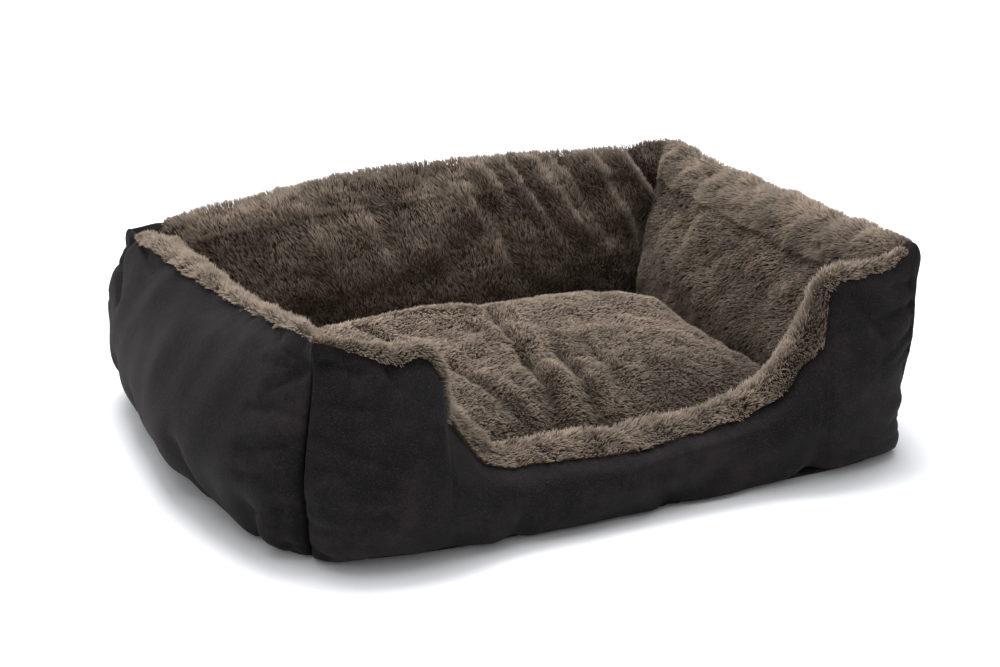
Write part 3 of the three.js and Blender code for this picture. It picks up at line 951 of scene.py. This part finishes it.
def make_base():
    well = rounded_rectangle(deck_high[0], deck_high[1], WELL_RADIUS)
    cloth_low, cloth_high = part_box("base_cloth")
    wadding_low, wadding_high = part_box("base_wadding")
    underside = add_pad("base_underside", base_outline(), cloth_high[2], cloth_low[2])
    dress(underside, BASE_CLOTH, "base_cloth", "bed", "base_cloth")
    pad = add_pad("base_pad", well * 0.99, wadding_high[2], wadding_low[2])
    dress(pad, FIBRE, "fibre_filling", "bed", "base_wadding")
    deck = add_pad("base_deck", well, deck_low[2] + DECK_CLOTH, deck_low[2], crown=0.0006, lumps=0.0003)
    dress(deck, BASE_CLOTH, "base_cloth", "bed", "base_lining")


make_base()


# The cushion

# Creases in its top: from one end to the other, in X and Y, and how deep and how wide. A crease with a
# depth below 0 is a ridge.
CUSHION_CREASES = [
    (0.026, 0.120, 0.006, -0.010, 0.0090, 0.0055), (0.006, -0.010, -0.020, -0.158, 0.0100, 0.0065),
    (0.045, 0.080, 0.020, -0.060, -0.0035, 0.0080), (0.010, -0.070, 0.000, -0.160, -0.0080, 0.0070),
    (0.040, -0.030, 0.020, -0.160, 0.0090, 0.0065), (-0.080, -0.020, -0.052, -0.160, 0.0085, 0.0062),
    (-0.046, -0.100, -0.040, -0.160, -0.0050, 0.0070), (-0.115, 0.110, -0.076, 0.000, 0.0080, 0.0060),
    (-0.095, 0.080, -0.060, -0.010, -0.0040, 0.0080), (0.075, 0.000, 0.060, -0.130, 0.0045, 0.0070),
    (0.150, 0.020, 0.178, -0.060, -0.0040, 0.0140), (0.090, 0.110, 0.160, 0.060, 0.0025, 0.0100),
]

CUSHION_RADIUS = 0.060
CUSHION_CLOTH = 0.0012
CUSHION_STRANDS = 33000  # on each half
CUSHION_PILE_LENGTH = 0.0068
OVERHANG = (0.006, 0.003)  # how far the plush swells past the CAD solid's seam, in X and Y
FILLING_SHARE = {"above": 0.55, "below": 0.93, "sideways": 0.97}  # of the room inside the cloth
CUSHION_LUMPS = ((0.0030, 0.13), (0.0012, 0.045))  # how high and how far apart

CUSHION_PATCHES = ((0.10, 0.10), (0.09, 0.020))

# How light its pile is: as a whole; painted light, more per metre towards the back; painted shade, what share
# of that less towards the right; and painted shade in the creases, less per metre of a crease's depth
CUSHION_SHADE = 0.42
PAINTED_LIGHT_BACK = 1.6
PAINTED_SHADE_RIGHT = 0.4
PAINTED_CREASE_SHADE = 40


def cushion_grids():
    """The top and the underside, from near their middles out to the seam that they share."""
    outline = rounded_rectangle(cushion_high[0] + OVERHANG[0], cushion_high[1] + OVERHANG[1], CUSHION_RADIUS)
    seam = cushion_low[2]
    crown, sag = cushion_high[2] - seam, seam - cushion_base[2]

    # Rings, closer together near the seam, where the cloth turns down
    shares = np.concatenate([np.linspace(0.02, 0.86, 52), np.linspace(0.88, 1.0, 19)])
    upper = [outline * (f, f, 1) + (0, 0, seam + crown * (1 - f ** 5) ** 0.5) for f in shares]
    lower = [outline * (f, f, 1) + (0, 0, seam - sag * (1 - f ** 12) ** 0.5) for f in shares]
    return np.stack(upper, axis=1), np.stack(lower, axis=1)


def plumped(top):
    """The cushion's top with its filling pressed into it, and with lumps and creases."""
    rough = top[::2, ::2]
    held = np.zeros(rough.shape[:2], bool)
    held[:, -1] = True
    moved = stuffed(rough, held, pressure=1.5, cap=0.005, spare=0.03, wrap=True)
    moved = finer(np.concatenate([moved, moved[:1]]), 0)[:-1]
    top = top + finer(moved, 1)
    off_seam = smooth((1 - np.linspace(0, 1, top.shape[1])) / 0.15)[None, :]
    plane = top[..., :2]
    (broad, broad_apart), (fine, fine_apart) = CUSHION_LUMPS
    lumps = broad * waves(plane, broad_apart, 51) + fine * waves(plane, fine_apart, 53)
    top[..., 2] += (lumps - crease_depth(plane, CUSHION_CREASES)) * off_seam
    return top


def add_cushion_skin(name, grid, flip, material, slot, node):
    faces = grid_faces(*grid.shape[:2], wrap=True)
    cap = np.arange(grid.shape[0])[None, :] * grid.shape[1]
    if flip:
        cap = cap[:, ::-1]
    else:
        faces = faces[:, ::-1]
    piece = add_mesh(name, grid.reshape(-1, 3), [faces, cap])
    piece.modifiers.new("thickness", "SOLIDIFY").thickness = CUSHION_CLOTH
    return dress(piece, material, slot, "cushion", node)


def add_cushion_filling(top, under):
    """The cushion's filling, drawn in under the creases of its top."""
    inner = np.concatenate([top[::2], under[:, ::-1][:, 1:]], axis=1)
    centre = np.array([0, 0, cushion_low[2]])
    deep = np.where(inner[..., 2:] > centre[2], FILLING_SHARE["above"], FILLING_SHARE["below"])
    wide = np.full_like(inner[..., :2], FILLING_SHARE["sideways"])
    inner = centre + (inner - centre) * np.concatenate([wide, deep], axis=-1)
    nu, nv = inner.shape[:2]
    caps = [np.arange(nu)[None, :] * nv, np.arange(nu)[None, ::-1] * nv + nv - 1]
    faces = [grid_faces(nu, nv, wrap=True)[:, ::-1], *caps]
    core = add_mesh("cushion_stuffing", inner.reshape(-1, 3), faces)
    dress(core, FIBRE, "fibre_filling", "cushion", "cushion_filling")


def add_cushion_pile(top):
    rng = np.random.default_rng(200)
    half = top.shape[0] // 2
    for number, part in enumerate((top[:half + 1], np.concatenate([top[half:], top[:1]]))):
        roots, normals, *_ = scatter(part, CUSHION_STRANDS, rng)
        normals = np.where(normals[:, 2:] < 0, -normals, normals)
        sideways = 0.45 + 0.25 * waves(roots, 0.2, 81)
        brushed = np.stack([sideways, np.full_like(sideways, -0.85), np.zeros_like(sideways)], axis=-1)
        lay = unit(brushed - normals * (normals * brushed).sum(axis=-1, keepdims=True))
        tone = patchy(CUSHION_SHADE, roots, CUSHION_PATCHES, 82)
        # Painted light towards the back, and painted shade towards the right and in the creases
        tone = tone + PAINTED_LIGHT_BACK * (roots[:, 1] - PAINTED_SHADE_RIGHT * roots[:, 0])
        tone = tone - PAINTED_CREASE_SHADE * crease_depth(roots[:, :2], CUSHION_CREASES)
        name = f"cushion_pile_{number + 1}"
        pile = add_pile(name, roots, normals, lay, CUSHION_PILE_LENGTH, 0.5, tone, rng)
        dress(pile, CUSHION_PILE, "cushion_plush", "cushion")


def make_cushion():
    top, under = cushion_grids()
    top = plumped(top)
    under = under[::2]
    under[:, -1] = top[::2, -1]
    skin = add_cushion_skin("cushion_upper", top, False, BACKING, "cushion_plush", "cushion_top")
    add_cushion_skin("cushion_lower", under, True, BASE_CLOTH, "base_cloth", "cushion_underside")
    add_cushion_filling(top, under)
    add_cushion_pile(top)


make_cushion()


# Stage

FLOOR_SIZE = 12
FLOOR_GAP = 0.0002  # between the bed and the floor below it

bpy.ops.mesh.primitive_plane_add(size=FLOOR_SIZE, location=(0, 0, cad_box[0][2] - FLOOR_GAP))
floor = bpy.context.object
floor.name = "floor"
paper = Nodes("paper", 0.9, 0.0, colour(255, 255, 255))
paper.set("Base Color", colour(243, 244, 247))
floor.data.materials.append(paper.material)


def add_light(name, kind, place, power):
    """A light at place that points at the bed."""
    data = bpy.data.lights.new(name, kind)
    data.energy = power
    light = bpy.data.objects.new(name, data)
    light.location = place
    light.rotation_euler = (Vector((0, 0, 0.1)) - Vector(place)).to_track_quat("-Z", "Y").to_euler()
    bpy.context.scene.collection.objects.link(light)
    return data


add_light("key", "AREA", (0.1, 0.9, 2.6), 85).size = 1.8
add_light("top", "SUN", (-0.2, 0.0, 2.9), 1.5).angle = 0.85
add_light("fill", "AREA", (-2.0, -2.0, 1.6), 10).size = 2.2
world = bpy.data.worlds.new("studio")
world.use_nodes = True
world.node_tree.nodes["Background"].inputs["Color"].default_value = (1, 1, 1, 1)
world.node_tree.nodes["Background"].inputs["Strength"].default_value = 0.55
bpy.context.scene.world = world
bpy.context.scene.view_settings.view_transform = "Standard"

AZIMUTH, ELEVATION, DISTANCE = math.radians(-24.1), math.radians(20.5), 2.075
LENS = 74.8
AIM_SIDEWAYS, AIM_UP = -0.0066, 0.0111
back = Vector((math.sin(AZIMUTH) * math.cos(ELEVATION), -math.cos(AZIMUTH) * math.cos(ELEVATION),
               math.sin(ELEVATION)))
right = Vector((math.cos(AZIMUTH), math.sin(AZIMUTH), 0))
middle = Vector((0, 0, 0.0744))
camera = bpy.data.objects.new("camera", bpy.data.cameras.new("camera"))
camera.location = middle + back * DISTANCE
aim = middle + right * AIM_SIDEWAYS + back.cross(right) * AIM_UP
camera.rotation_euler = (aim - camera.location).to_track_quat("-Z", "Y").to_euler()
camera.data.lens = LENS
bpy.context.scene.collection.objects.link(camera)
bpy.context.scene.camera = camera
